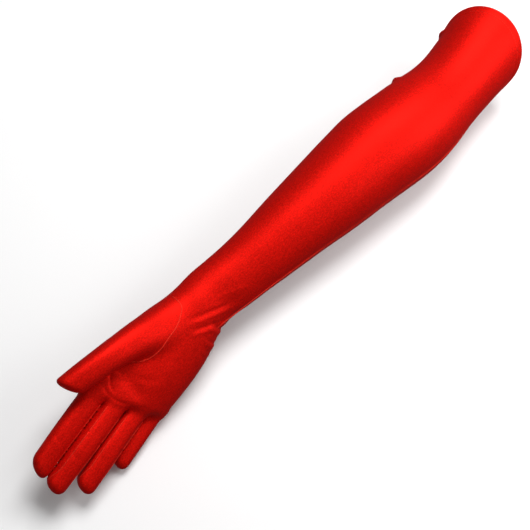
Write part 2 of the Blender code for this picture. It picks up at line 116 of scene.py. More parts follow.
def dense(rows, pad=25.0, count=700):
    """Cubic through the rows over their first column, sampled finely and carried on straight.

    Gives the first column, the other columns, and the slope of the second column.
    """
    table = np.array(rows, float)
    knots, values = table[:, 0], table[:, 1:]
    slopes = np.gradient(values, knots, axis=0)
    t = np.linspace(knots[0] - pad, knots[-1] + pad, count)
    i = np.clip(np.searchsorted(knots, t) - 1, 0, len(knots) - 2)
    h = (knots[i + 1] - knots[i])[:, None]
    x = np.clip((t - knots[i])[:, None] / h, 0.0, 1.0)
    out = ((1 + 2 * x) * (1 - x) ** 2 * values[i] + x * (1 - x) ** 2 * h * slopes[i]
           + x * x * (3 - 2 * x) * values[i + 1] + x * x * (x - 1) * h * slopes[i + 1])
    low, high = t < knots[0], t > knots[-1]
    out[low] = values[0] + slopes[0] * (t[low, None] - knots[0])
    out[high] = values[-1] + slopes[-1] * (t[high, None] - knots[-1])
    return t, out, np.gradient(out[:, 0], t)


def look(table, t):
    """Every column of a dense table at t."""
    return [np.interp(t, table[0], table[1][:, k]) for k in range(table[1].shape[1])]


def limb_rows():
    """The sleeve's rows turned into the hand's frame, and the palm's rows after them."""
    rows = []
    for x, y, z, a, b in SLEEVE[::-1]:
        rel = np.array((0.0, y - HAND[1], z - HAND[2]))
        rows.append((HAND[0] - x, rel @ E_V, rel @ E_W, a, b, 0.0, 2.0))
    return rows + list(PALM)


# the same tables made dense
BODY_T = dense(limb_rows(), count=2000)
THUMB_T = dense(THUMB)
FINGER_T = [dense(rows) for rows in FINGERS.values()]
SLEEVE_T = dense(SLEEVE, count=900)
FINGER_START = [rows[0][0] + 14.0 for rows in FINGERS.values()]  # inside the palm
FINGER_END = (255.5, 257.0, 240.5, 207.5)  # u of each fingertip
FINGER_SLANT = (-0.3, -0.05, -0.1, 0.0)  # how much farther the tip reaches per mm toward the thumb
FINGER_SQUARE = 2.6  # 2 is an ellipse, more is squarer
NEAR_CUT = 2.0  # how far before its start a finger or the thumb ends, inside the palm
NOSE, BLUNT = 7.5, 2.3  # length of a fingertip's rounding, and how blunt it is
THUMB_END, THUMB_NOSE, THUMB_SQUARE, THUMB_SLANT = 198.0, 5.5, 2.5, 0.36
STUB_END = -5.5  # where the hand's own cloth stops inside the thumb, mm past the thumb's hinge
# the palm's far end: a plane across it, leaning with v, and the length of that plane's slope
PALM_END, PALM_END_LEAN, PALM_END_SLOPE = 178.0, 0.5, 1.12
# radii of the rounding between parts; the thumb's goes from its first value to its second with u
PALM_END_ROUND, WEB_ROUND = 7.0, 5.0
THUMB_ROUND, THUMB_ROUND_FROM, THUMB_ROUND_OVER = (9.0, 3.0), 128.0, 30.0


def uvw(p):
    """The hand's own coordinates of points."""
    q = p - HAND
    return (-q[..., 0], q[..., 1] * E_V[1] + q[..., 2] * E_V[2],
            q[..., 1] * E_W[1] + q[..., 2] * E_W[2])


def xyz(u, v, w):
    """Points from the hand's own coordinates."""
    return np.stack([HAND[0] - u, HAND[1] + v * E_V[1] + w * E_W[1],
                     HAND[2] + v * E_V[2] + w * E_W[2]], -1)


def in_metres(p):
    """From mm in the glove's frame to the scene's own metres."""
    return (np.asarray(p) - ORIGIN) / 1000.0


# ---------------------------------------------------------------- the surface as a field
def smin(a, b, k):
    """The smaller of a and b, rounded where they are within k of each other."""
    h = np.maximum(k - np.abs(a - b), 0.0) / k
    return np.minimum(a, b) - h * h * k / 4


def limb(u, v, w, table, end, nose, start, square, skew):
    """Rough distance to a finger: a squarish tube with a blunt end, cut at a slant of skew.

    k0, k1 and k2 are an ellipsoid's measures: its level, the level's slope, and the plain radius.
    """
    cv, cw, a, b = look(table, u)
    lean = 1 / np.sqrt(1 + np.interp(u, table[0], table[2]) ** 2)
    x, y = (v - cv) * lean, w - cw
    z = np.maximum(u - skew * x - (end - nose), 0.0) / nose
    tube = (np.abs(x / a) ** square + np.abs(y / b) ** square) ** (1 / square)
    k0 = (tube ** BLUNT + z ** BLUNT) ** (1 / BLUNT) + 1e-9
    k1 = np.sqrt((x / (a * a)) ** 2 + (y / (b * b)) ** 2 + (z / nose) ** 2) + 1e-9
    k2 = np.sqrt((x / a) ** 2 + (y / b) ** 2 + z ** 2) + 1e-9
    return np.maximum((k0 - 1) * k2 / k1, np.maximum(start - u, 0.0) - NEAR_CUT)


def body_field(u, v, w):
    """Rough distance to sleeve and palm: a squarish tube with its little-finger side let down."""
    cv, cw, a, b, drop, p = look(BODY_T, u)
    low = np.maximum((cv - v) / a, 0.0)
    x, y = v - cv, w - cw + drop * low ** 2 * (1 - 0.25 * low)
    k0 = (np.abs(x / a) ** p + np.abs(y / b) ** p) ** (1 / p) + 1e-9
    k1 = np.sqrt((x / (a * a)) ** 2 + (y / (b * b)) ** 2) + 1e-9
    k2 = np.sqrt((x / a) ** 2 + (y / b) ** 2) + 1e-9
    far_end = (u - (PALM_END + PALM_END_LEAN * v)) / PALM_END_SLOPE
    return -smin(-(k0 - 1.0) * k2 / k1, -far_end, PALM_END_ROUND)


def hinge(name, second):
    """A hinge's place on its finger's middle line, and how v changes with u there."""
    table = THUMB_T if name == "thumb" else FINGER_T[list(FINGERS).index(name)]
    at = HINGES[name][1 if second else 0]
    cv, cw = look(table, at)[:2]
    return at, cv, cw, np.interp(at, table[0], table[2])


def station(name, u, v, second=False):
    """Distance along a finger from one of its hinges, toward the tip."""
    at, cv, _, slope = hinge(name, second)
    return ((u - at) + (v - cv) * slope) / math.hypot(1.0, slope)


def finger_field(i, u, v, w):
    return limb(u, v, w, FINGER_T[i], FINGER_END[i], NOSE, FINGER_START[i], FINGER_SQUARE,
                FINGER_SLANT[i])


def thumb_field(u, v, w):
    return limb(u, v, w, THUMB_T, THUMB_END, THUMB_NOSE, THUMB[0][0],
                THUMB_SQUARE, THUMB_SLANT)


def field(u, v, w):
    """Rough distance to the whole filled glove, apart from the thumb past its stub."""
    fingers = finger_field(0, u, v, w)
    for i in range(1, 4):
        fingers = np.minimum(fingers, finger_field(i, u, v, w))
    hand = smin(body_field(u, v, w), fingers, WEB_ROUND)
    stub = np.maximum(thumb_field(u, v, w), station("thumb", u, v) - STUB_END)
    wide, narrow = THUMB_ROUND
    rounding = wide - (wide - narrow) * ramp((u - THUMB_ROUND_FROM) / THUMB_ROUND_OVER)
    return smin(hand, stub, rounding)


def close_fingers(u, v, w):
    """From meshing space, where fingers stand apart, to the real one, where they nearly touch."""
    out = v.copy()
    for i, (crotch, lean) in enumerate(CROTCH):
        a, b = look(FINGER_T[i], u), look(FINGER_T[i + 1], u)
        middle = (a[0] - a[2] + b[0] + b[2]) / 2 + lean * (w - (a[1] + b[1]) / 2)
        amount = SPREAD * ramp((u - crotch + SPREAD_START) / SPREAD_START)
        out = out - amount * (ramp((v - middle) / ZONE + 0.5) - 0.5)
    return out


def spread_field(p):
    """The field at points of meshing space."""
    u, v, w = uvw(p)
    return field(u, close_fingers(u, v, w), w)


def tube_field(p):
    return thumb_field(*uvw(p))


def real_place(p):
    """Points of meshing space moved to where they really are."""
    u, v, w = uvw(p)
    return xyz(u, close_fingers(u, v, w), w)


def nets(lo, hi, h):
    """Quads over the field's zero surface, one vertex to a grid cell."""
    n = np.ceil((hi - lo) / h).astype(int) + 1
    axes = [lo[k] + h * np.arange(n[k]) for k in range(3)]
    vals = np.empty(n)
    for i in range(n[0]):
        grid = np.stack(np.meshgrid(axes[0][i:i + 1], axes[1], axes[2], indexing="ij"), -1)
        vals[i] = spread_field(grid)[0]
    sign = vals < 0
    total, count = np.zeros(tuple(n - 1) + (3,)), np.zeros(tuple(n - 1))
    base = np.stack(np.meshgrid(*[np.arange(m) for m in n - 1], indexing="ij"), -1).astype(float)

    def corner(offset):
        return vals[tuple(slice(o, o + m - 1) for o, m in zip(offset, n))]

    for axis in range(3):
        for pair in ((0, 0), (0, 1), (1, 0), (1, 1)):
            offset = [0, 0, 0]
            offset[(axis + 1) % 3], offset[(axis + 2) % 3] = pair
            other = list(offset)
            other[axis] = 1
            va, vb = corner(offset), corner(other)
            cross = (va < 0) != (vb < 0)
            spot = base + np.array(offset, float)
            spot[..., axis] += np.where(cross, va / np.where(cross, va - vb, 1.0), 0.0)
            total += np.where(cross[..., None], spot, 0.0)
            count += cross
    live = count > 0
    index = -np.ones(tuple(n - 1), int)
    index[live] = np.arange(live.sum())
    points = lo + h * total[live] / count[live][:, None]
    quads = []
    for axis in range(3):
        a1, a2 = (axis + 1) % 3, (axis + 2) % 3
        near, far, inner = [slice(None)] * 3, [slice(None)] * 3, [slice(None)] * 3
        near[axis], far[axis] = slice(0, n[axis] - 1), slice(1, n[axis])
        inner[a1], inner[a2] = slice(1, n[a1] - 1), slice(1, n[a2] - 1)
        where = np.argwhere((sign[tuple(near)] != sign[tuple(far)])[tuple(inner)])
        where[:, a1] += 1
        where[:, a2] += 1
        inside = sign[tuple(where.T)]
        ring = []
        for d1, d2 in ((1, 1), (0, 1), (0, 0), (1, 0)):
            cell = where.copy()
            cell[:, a1] -= d1
            cell[:, a2] -= d2
            ring.append(index[tuple(cell.T)])
        quad = np.stack(ring, 1)
        quads.append(np.where(inside[:, None], quad, quad[:, ::-1]))
    return points, np.concatenate(quads)


def gradient(which, points, eps):
    """How fast the field called which grows along x, y and z."""
    return np.stack([(which(points + d) - which(points - d)) / (2 * eps)
                     for d in np.eye(3) * eps], -1)


def settle(points, steps, which=spread_field):
    """Moves points onto the field's surface, along its gradient."""
    flattest, longest = 0.012, 0.8  # least squared slope that is believed, longest move in a step
    for _ in range(steps):
        f, g = which(points), gradient(which, points, 0.05)
        move = f[:, None] * g / np.maximum((g * g).sum(-1), flattest)[:, None]
        size = np.linalg.norm(move, axis=1, keepdims=True)
        points = points - move * np.minimum(1.0, longest / np.maximum(size, 1e-9))
    return points


def normals_of(points, quads):
    """The cloth's direction out at each point, from the faces round it."""
    square = np.cross(points[quads[:, 2]] - points[quads[:, 0]],
                      points[quads[:, 3]] - points[quads[:, 1]])
    out = np.zeros_like(points)
    for k in range(quads.shape[1]):
        np.add.at(out, quads[:, k], square)
    return out / np.maximum(np.linalg.norm(out, axis=1, keepdims=True), 1e-12)


# ---------------------------------------------------------------- folds in the cloth
# Positions on the palm side are given where a slanted line through them, leaning LEAN_U and LEAN_V
# per mm of height, meets the plane through the middle of the hand.
LEAN_U, LEAN_V = 0.328, 0.24
# points (u, v), height (minus for a groove), width; palm side of wrist and hand
PALM_FOLDS = (
    (((90.0, 3.0), (78.0, -4.0), (66.0, -8.6), (50.0, -14.2), (30.0, -22.5)), -0.62, 1.9),
    (((94.0, -1.0), (80.0, -7.6), (68.0, -12.6), (52.0, -19.0), (40.0, -24.0)), 0.5, 1.8),
    (((92.0, -7.8), (82.0, -12.4), (73.0, -17.0), (60.0, -23.0)), -0.55, 1.5),
    (((95.0, -10.4), (84.5, -15.5), (74.0, -21.0)), 0.4, 1.4),
    (((70.0, -5.1), (52.0, -13.2), (34.0, -21.4)), 0.34, 1.4),
    (((62.0, -2.0), (44.0, -9.5), (26.0, -17.5)), 0.22, 1.6),
    (((169.2, 14.9), (171.6, 10.2), (172.3, -2.2), (168.6, -10.5), (164.3, -16.0)), -0.6, 1.2),
    (((158.0, 19.5), (161.5, 14.0), (166.5, 8.0), (169.5, 0.0)), -0.75, 1.1),
    (((153.3, 13.0), (154.4, 0.2), (154.9, -10.9), (152.9, -23.0)), -1.1, 5.5),
    (((150.0, 13.0), (149.0, 2.0), (144.0, -9.0), (134.0, -19.0)), -0.35, 2.6),
    (((142.6, 8.6), (137.5, 4.4)), -0.4, 0.8),
    (((139.8, 7.2), (134.0, 2.6)), 0.35, 0.7),
    (((118.0, -14.0), (132.0, -20.0), (146.0, -23.0)), 0.4, 4.0),
    # tucks where the tips of the index, middle and ring fingers are sewn
    (((263.0, 7.6), (252.0, 6.2), (242.0, 5.6)), -0.8, 1.1),
    (((261.0, 2.0), (250.0, 1.6), (243.0, 2.2)), 0.3, 1.4),
    (((265.0, -21.0), (255.0, -19.2), (246.0, -17.2)), -0.4, 1.0),
    (((249.0, -39.6), (239.0, -37.2), (230.0, -34.8)), -0.4, 1.0),
    # slack across the fingers' joints
    (((222.0, 14.0), (224.5, 8.0), (223.5, 2.0)), -0.22, 1.8),
    (((221.0, -5.0), (224.0, -11.0), (222.5, -17.0)), -0.22, 1.8),
    (((209.0, -22.0), (211.5, -28.0), (210.0, -34.0)), -0.22, 1.7),
)
# folds that run round the edge of the wrist: u along the little-finger side, height, width
EDGE_FOLDS = ((70.5, -0.8, 1.8), (74.5, 0.7, 1.9), (83.0, -0.45, 1.4), (86.0, 0.3, 1.5),
              (91.0, -0.3, 1.4), (96.5, -0.2, 1.3))
# bunched cloth in the crook of the elbow: x, y, z, height, reach along x and across it
CROOK_FOLDS = (((186.6, 14.9, 49.9), 2.4, (2.6, 7.0)), ((181.0, 15.8, 48.0), -0.7, (2.6, 8.0)),
               ((255.0, 18.0, 41.5), 2.3, (2.9, 7.0)), ((249.5, 16.6, 41.0), -0.5, (2.4, 7.0)))


def along_line(points, line):
    """Distance of 2-D points to a line of points, and how far along it they are, 0 to 1."""
    line = np.array(line, float)
    lengths = np.linalg.norm(np.diff(line, axis=0), axis=1)
    total, done = lengths.sum(), 0.0
    best, where = np.full(len(points), 1e9), np.zeros(len(points))
    for a, b, length in zip(line[:-1], line[1:], lengths):
        t = np.clip((points - a) @ (b - a) / length ** 2, 0.0, 1.0)
        gap = np.linalg.norm(points - a - t[:, None] * (b - a), axis=1)
        closer = gap < best
        best = np.where(closer, gap, best)
        where = np.where(closer, (done + t * length) / total, where)
        done += length
    return best, where


def smooth_line(line, count=24):
    """A cubic curve through a few 2-D points."""
    line = np.array(line, float)
    step = np.r_[0, np.cumsum(np.linalg.norm(np.diff(line, axis=0), axis=1))]
    return dense(np.column_stack([step, line]), pad=0.0, count=count)[1]


def sleeve_waves(points):
    """Slack that the stretched cloth keeps: long faint waves, from the wrist to near the hem."""
    x = points[:, 0]
    turn = np.arctan2(points[:, 2] - 37.0, points[:, 1] + 12.0)
    return (0.16 * np.sin(x / 21.0 + 2.0 * turn) * np.sin(x / 47.0 + 1.0)
            * ramp((x + 60.0) / 50.0) * ramp((258.0 - x) / 25.0))


def fold(points, normals):
    """How far each point of the surface moves out, in mm."""
    u, v, w = uvw(points)
    flat = np.column_stack([u - LEAN_U * w, v - LEAN_V * w])
    up = normals @ E_W
    palm_side = ramp(up / 0.35)  # 1 where the cloth faces out of the palm
    move = np.zeros(len(points))
    for line, height, width in PALM_FOLDS:
        gap, where = along_line(flat, smooth_line(line))
        fade = ramp(np.minimum(where, 1 - where) / 0.3)  # to nothing at both ends of the fold
        move += height * np.exp(-(gap / width) ** 2) * fade * palm_side
    side = ramp((-(normals @ E_V) - 0.15) / 0.5)  # 1 on the little-finger side
    for at, height, width in EDGE_FOLDS:
        ridge = np.exp(-((u - at - 0.5 * np.abs(w)) / width) ** 2)
        move += height * ridge * side * ramp((up + 0.9) / 0.9)
    for spot, height, (along, around) in CROOK_FOLDS:
        d = points - np.array(spot)
        move += height * np.exp(-(d[:, 0] / along) ** 2 - (d[:, 1:] ** 2).sum(1) / around ** 2)
    return move + sleeve_waves(points)


def rest_on_floor(points):
    """Keeps the underside over LIFT, with a soft bend where it would go under."""
    softness = 0.5
    out = points.copy()
    d = out[:, 2] - LIFT
    out[:, 2] = LIFT + 0.5 * (d + np.sqrt(d * d + softness ** 2))
    return out


# ---------------------------------------------------------------- materials
def satin(name, colour, weave):
    """Red satin: a fine grain and a faint cloud in the colour, and woven threads in the bump."""
    rough, darker, lighter = 0.5, 0.65, 1.25
    made = bpy.data.materials.new(name)
    made.use_nodes = True
    nodes, links = made.node_tree.nodes, made.node_tree.links
    shader = nodes["Principled BSDF"]
    shader.inputs["Metallic"].default_value = 0.45
    shader.inputs["Specular IOR Level"].default_value = 0.35
    shader.inputs["Specular Tint"].default_value = (1.0, 0.12, 0.08, 1.0)
    coords = nodes.new("ShaderNodeTexCoord")

    def noise(scale, detail, stretch=(1.0, 1.0, 1.0)):
        mapping = nodes.new("ShaderNodeMapping")
        mapping.inputs["Scale"].default_value = stretch
        links.new(coords.outputs["Object"], mapping.inputs["Vector"])
        made_noise = nodes.new("ShaderNodeTexNoise")
        made_noise.inputs["Scale"].default_value = scale
        made_noise.inputs["Detail"].default_value = detail
        links.new(mapping.outputs["Vector"], made_noise.inputs["Vector"])
        return made_noise.outputs["Fac"]

    def between(source, low, high):
        """A noise's middle range stretched from low to high."""
        made_range = nodes.new("ShaderNodeMapRange")
        made_range.inputs["From Min"].default_value = 0.3
        made_range.inputs["From Max"].default_value = 0.7
        made_range.inputs["To Min"].default_value = low
        made_range.inputs["To Max"].default_value = high
        links.new(source, made_range.inputs["Value"])
        return made_range.outputs["Result"]

    grain = noise(1150.0, 2.0, (0.6, 1.0, 1.0))
    cloud = noise(38.0, 3.0)
    mix = nodes.new("ShaderNodeMix")
    mix.data_type = "RGBA"
    mix.inputs["A"].default_value = tuple(c * darker for c in colour) + (1.0,)
    mix.inputs["B"].default_value = tuple(min(c * lighter, 1.0) for c in colour) + (1.0,)
    both = nodes.new("ShaderNodeMath")
    both.operation = "ADD"
    links.new(between(grain, 0.0, 0.8), both.inputs[0])
    links.new(between(cloud, 0.0, 0.1), both.inputs[1])
    links.new(both.outputs[0], mix.inputs["Factor"])
    links.new(mix.outputs["Result"], shader.inputs["Base Color"])
    links.new(between(grain, rough - 0.04, rough + 0.05), shader.inputs["Roughness"])
    # the weave: threads across and along, and a fine slub
    waves = []
    for axis in ("X", "Y"):
        wave = nodes.new("ShaderNodeTexWave")
        wave.bands_direction = axis
        wave.inputs["Scale"].default_value = weave
        wave.inputs["Distortion"].default_value = 1.2
        wave.inputs["Detail"].default_value = 1.0
        links.new(coords.outputs["Object"], wave.inputs["Vector"])
        waves.append(wave.outputs["Fac"])
    cross = nodes.new("ShaderNodeMath")
    cross.operation = "MULTIPLY"
    links.new(waves[0], cross.inputs[0])
    links.new(waves[1], cross.inputs[1])
    height = nodes.new("ShaderNodeMath")
    height.operation = "ADD"
    links.new(cross.outputs[0], height.inputs[0])
    links.new(grain, height.inputs[1])
    bump = nodes.new("ShaderNodeBump")
    bump.inputs["Strength"].default_value = 0.35
    bump.inputs["Distance"].default_value = 0.00008
    links.new(height.outputs[0], bump.inputs["Height"])
    links.new(bump.outputs["Normal"], shader.inputs["Normal"])
    return made


SATIN = satin("satin_red", (0.68, 0.006, 0.003), 520.0)
INSET = satin("satin_red_inset", (0.67, 0.006, 0.003), 520.0)
THREAD = satin("thread_red", (0.8, 0.03, 0.016), 1400.0)

# ---------------------------------------------------------------- build the cloth
# two corners of the grid, round the whole glove with room for the spread fingers
GRID_LOW, GRID_HIGH = np.array((-268.0, -64.0, -6.0)), np.array((306.0, 42.0, 88.0))
spread_points, quads = nets(GRID_LOW, GRID_HIGH, CELL)
spread_points = settle(spread_points, 7)
points = real_place(spread_points)
normals = normals_of(points, quads)
points = points + normals * fold(points, normals)[:, None]
points = rest_on_floor(points)

# For each finger's two hinges, in mm past the hinge: where the piece beyond it starts, where the bend
# starts and where the bend ends. The thumb's pieces start at THUMB_START and THUMB_SPLIT instead.
BENDS = {"index": ((-4.6, -3.4, 9.0), (-16.0, -8.0, 8.0)),
         "middle": ((-3.6, -2.4, 9.0), (-18.0, -8.0, 8.0)),
         "ring": ((-4.2, -3.0, 9.0), (-15.0, -8.0, 8.0)),
         "little": ((-5.2, -4.0, 7.5), (-9.0, -6.5, 6.5)),
         "thumb": ((None, -4.6, 8.0), (None, -8.0, 8.0))}
SLEEVE_SPLIT = 60.0  # x where the sleeve's two pieces meet
FINGER_REACH = 2.5  # how far off a finger's own tube its cloth may lie
real_u, spread_v, real_w = uvw(spread_points)
real_v = close_fingers(real_u, spread_v, real_w)
finger_gaps = np.stack([finger_field(i, real_u, real_v, real_w) for i in range(4)])
face_u, face_v = real_u[quads].mean(1), real_v[quads].mean(1)
near = finger_gaps[:, quads].mean(2)
nearest = near.argmin(0)
label = np.zeros(len(quads), int)  # 0 upper sleeve, 1 lower sleeve and hand, then two for each finger
label[points[quads].mean(1)[:, 0] < SLEEVE_SPLIT] = 1
for k, name in enumerate(FINGERS):
    own = (nearest == k) & (near[k] < FINGER_REACH)
    own &= station(name, face_u, face_v) > BENDS[name][0][0]
    label[own] = 2 + 2 * k
    tip = own & (station(name, face_u, face_v, True) > BENDS[name][1][0])
    label[tip] = 3 + 2 * k


def make(name, verts, faces, material, normal=None):
    """A smooth mesh object from points in mm."""
    mesh = bpy.data.meshes.new(name)
    mesh.from_pydata(in_metres(verts), [], [list(map(int, f)) for f in faces])
    mesh.update()
    mesh.materials.append(material)
    mesh.shade_smooth()
    if normal is not None:
        mesh.normals_split_custom_set_from_vertices(np.asarray(normal).tolist())
    made = bpy.data.objects.new(name, mesh)
    bpy.context.scene.collection.objects.link(made)
    return made


# cut at the hem: faces past its plane go, and the last points slide back along x onto it
past_hem = (points - HEM_POINT) @ HEM_NORMAL
keep = (past_hem[quads] < 0).any(1)
edge = np.zeros(len(points), bool)
edge[np.unique(quads[keep])] = True
edge &= past_hem > 0
points[edge, 0] += past_hem[edge] * (-1.0 / HEM_NORMAL[0])
quads, label = quads[keep], label[keep]
all_normals = normals_of(points, quads)


def part(name, which):
    """The piece of cloth whose faces have the label which."""
    chosen = quads[label == which]
    used, back = np.unique(chosen, return_inverse=True)
    return make(name, points[used], back.reshape(chosen.shape), SATIN, all_normals[used])


upper = part("sleeve_upper", 0)
lower = part("sleeve_and_hand", 1)
digits = {}
for k, name in enumerate(FINGERS):
    digits[name] = (part(name + "_root", 2 + 2 * k), part(name + "_end", 3 + 2 * k))


# ---------------------------------------------------------------- thumb, a tube of its own
LEAN_FROM, LEAN_OVER = 168.0, 24.0  # u where the thumb's rings start to lean, and over how much


def thumb_ring(u, size, sides):
    """One ring round the thumb; its plane leans as the thumb's end does, more toward the tip."""
    turn = np.linspace(0.0, 2 * math.pi, sides, endpoint=False)
    cv, cw, a, b = look(THUMB_T, u)
    x = size * a * np.sign(np.cos(turn)) * np.abs(np.cos(turn)) ** (2 / THUMB_SQUARE)
    y = size * b * np.sign(np.sin(turn)) * np.abs(np.sin(turn)) ** (2 / THUMB_SQUARE)
    return xyz(u + THUMB_SLANT * x * ramp((u - LEAN_FROM) / LEAN_OVER), cv + x, cw + y)


THUMB_SIDES, RING_GAP = ((96, 1.0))
THUMB_START, THUMB_SPLIT = 143.0, 169.0  # u where the tube starts, and where its two pieces meet
TIP_LIFTS = np.radians((14.0, 28.0, 41.0, 53.0, 64.0, 74.0, 83.0))  # the rounded tip's rings, as angles
along_thumb = np.arange(THUMB_START, THUMB_END - THUMB_NOSE, RING_GAP)
rings = [thumb_ring(at, 1.0, THUMB_SIDES) for at in along_thumb]
for lift in TIP_LIFTS:
    at = THUMB_END - THUMB_NOSE * (1 - math.sin(lift))
    rings.append(thumb_ring(at, math.cos(lift) ** 0.9, THUMB_SIDES))
tube = settle(np.concatenate(rings + [thumb_ring(THUMB_END, 0.0, 1)]), 6, tube_field)
tube_out = gradient(tube_field, tube, 0.2)
tube_out /= np.linalg.norm(tube_out, axis=1, keepdims=True)
# a hair over the hand's own cloth where that ends, and a hair under it farther back
OVER_CLOTH, UNDER_CLOTH = 0.1, 0.07
UNDER_FROM, UNDER_OVER = -6.8, 2.6  # mm past the hinge where it starts to dip under, and over how much
inside = ramp((UNDER_FROM - station("thumb", *uvw(tube)[:2])) / UNDER_OVER)
tube += tube_out * (OVER_CLOTH - (OVER_CLOTH + UNDER_CLOTH) * inside)[:, None]


def thumb_part(name, first, last, tip):
    """The rings from first to last, closed by the point at the thumb's tip if asked."""
    n = THUMB_SIDES
    chosen = list(range(first * n, (last + 1) * n)) + ([len(tube) - 1] if tip else [])
    faces = [(i * n + j, (i + 1) * n + j, (i + 1) * n + (j + 1) % n, i * n + (j + 1) % n)
             for i in range(last - first) for j in range(n)]
    if tip:
        ring = (last - first) * n
        faces += [(ring + j, ring + n, ring + (j + 1) % n) for j in range(n)]
    return make(name, tube[chosen], faces, INSET, tube_out[chosen])


split_ring = int(np.searchsorted(along_thumb, THUMB_SPLIT))
digits["thumb"] = (thumb_part("thumb_root", 0, split_ring, False),
                   thumb_part("thumb_end", split_ring, len(rings) - 1, True))


# ---------------------------------------------------------------- hem
def sleeve_point(turn, back, out):
    """Points on the sleeve's skin at the angles turn, back mm from the hem and out mm off the cloth."""
    x = np.full(turn.shape, HEM_POINT[0] - back)
    for _ in range(12):
        cy, cz, a, b = look(SLEEVE_T, x)
        y, z = cy + (a + out) * np.cos(turn), cz + (b + out) * np.sin(turn)
        if out <= LIFT:
            z = np.maximum(z, LIFT - out + UNDER_GAP)
        x = (HEM_POINT[0] - back / HEM_NORMAL[0] - ((y - HEM_POINT[1]) * HEM_NORMAL[1]
             + (z - HEM_POINT[2]) * HEM_NORMAL[2]) / HEM_NORMAL[0])
    return np.stack([x, y, z], -1)


def grid_faces(rows, cols):
    """Quads over rows of points that each close on themselves."""
    faces = []
    for i in range(rows - 1):
        for j in range(cols):
            k = (j + 1) % cols
            faces.append((i * cols + j, i * cols + k, (i + 1) * cols + k, (i + 1) * cols + j))
    return faces


HEM_STEPS, HEM_STITCHES = 220, 96
STITCH_BACK = HEM_DEPTH - 1.7  # where the stitches lie, in a groove of the turning
hem_turn = np.linspace(0.0, 2 * math.pi, HEM_STEPS, endpoint=False)
# how far back from the opening, how far out: up the outside, round the fold, down the inside
HEM_PROFILE = [(HEM_DEPTH + 0.6, 0.02), (HEM_DEPTH - 0.2, 0.16), (HEM_DEPTH - 0.9, 0.34),
               (STITCH_BACK, 0.10), (HEM_DEPTH - 2.5, 0.34), (3.5, 0.36), (1.2, 0.36),
               (0.3, 0.28), (-0.15, 0.06), (-0.28, -0.25), (-0.1, -0.6), (0.4, -0.85),
               (2.0, -0.9), (HEM_DEPTH - 1.0, -0.9), (HEM_DEPTH + 0.4, -0.6), (HEM_DEPTH + 0.6, -0.2)]
hem_rows = [sleeve_point(hem_turn, back, out) for back, out in HEM_PROFILE]
hem = make("hem_turned", np.concatenate(hem_rows), grid_faces(len(hem_rows), HEM_STEPS), SATIN)


def beads(name, spots, along, out, length, width, height):
    """Short stitches, each a small rounded bead lying along the seam."""
    verts, faces = [], []
    profile = [(-1.0, 0.25), (-0.55, 0.85), (0.0, 1.0), (0.55, 0.85), (1.0, 0.25)]  # along, thickness
    sides = 6
    for spot, a, o in zip(spots, along, out):
        a = a / np.linalg.norm(a)
        o = o - (o @ a) * a
        o = o / np.linalg.norm(o)
        s = np.cross(a, o)
        first = len(verts)
        for t, size in profile:
            for k in range(sides):
                angle = 2 * math.pi * k / sides
                round_it = s * math.cos(angle) * width / 2 + o * math.sin(angle) * height / 2
                verts.append(spot + a * t * length / 2 + size * round_it)
        for i in range(len(profile) - 1):
            for k in range(sides):
                m = (k + 1) % sides
                faces.append((first + i * sides + k, first + i * sides + m,
                              first + (i + 1) * sides + m, first + (i + 1) * sides + k))
        faces.append(tuple(first + k for k in range(sides))[::-1])
        last = first + (len(profile) - 1) * sides
        faces.append(tuple(last + k for k in range(sides)))
    return make(name, verts, faces, THREAD)


stitch_turn = np.linspace(0.0, 2 * math.pi, HEM_STITCHES, endpoint=False)
spots = sleeve_point(stitch_turn, STITCH_BACK, 0.14)
ahead = np.roll(spots, -1, axis=0) - np.roll(spots, 1, axis=0)
outward = sleeve_point(stitch_turn, STITCH_BACK, 2.0) - spots
hem_stitches = beads("hem_stitches", spots, ahead, outward, length=1.9, width=0.3, height=0.24)


# ---------------------------------------------------------------- seams
def surface_of(line, which=spread_field):
    """Points of meshing space brought onto the cloth: their real place, and the cloth's way out."""
    spots = settle(np.array(line, float), 6, which)
    out = gradient(which, spots, 0.2)
    out /= np.linalg.norm(out, axis=1, keepdims=True)
    if which is tube_field:
        return spots, out
    placed = real_place(spots)
    return placed + out * fold(placed, out)[:, None], out


def rib(name, lines, width, height):
    """A seam: a low rounded ridge along each line, tapered at its ends, its underside in the cloth."""
    sink = 0.25
    verts, faces = [], []
    shape = [(-1.0, -sink / height), (-0.72, 0.45), (-0.3, 0.92), (0.0, 1.0), (0.3, 0.92),
             (0.72, 0.45), (1.0, -sink / height), (0.0, -1.6 * sink / height)]
    for line, out in lines:
        ahead = np.gradient(line, axis=0)
        side = np.cross(ahead, out)
        side /= np.linalg.norm(side, axis=1, keepdims=True)
        first, count = len(verts), len(shape)
        fade = ramp(np.minimum(np.arange(len(line)), np.arange(len(line))[::-1]) / 2.0 + 0.25)
        for spot, s, o, size in zip(line, side, out, fade):
            for x, y in shape:
                verts.append(spot + s * x * width / 2 * size + o * y * height * size)
        for i in range(len(line) - 1):
            for k in range(count):
                m = (k + 1) % count
                a, b = first + i * count, first + (i + 1) * count
                faces.append((a + k, b + k, b + m, a + m))
        faces.append(tuple(first + k for k in range(count)))
        last = first + (len(line) - 1) * count
        faces.append(tuple(last + k for k in range(count))[::-1])
    return make(name, verts, faces, THREAD)


def opened(u, v, w):
    """Real v back to meshing space, by repeated correction."""
    guess = np.array(v, float)
    for _ in range(12):
        guess = guess + (v - close_fingers(u, guess, w))
    return guess


# thumb seam, round the thumb's base on the palm side: slanted positions as for the folds
THUMB_SEAM = ((83.5, 23.0), (82.2, 17.0), (82.8, 11.8), (89.0, 6.6), (95.8, 3.2), (106.4, 1.2),
              (119.2, -0.7), (129.5, 0.6), (135.8, 3.5), (142.8, 9.2))


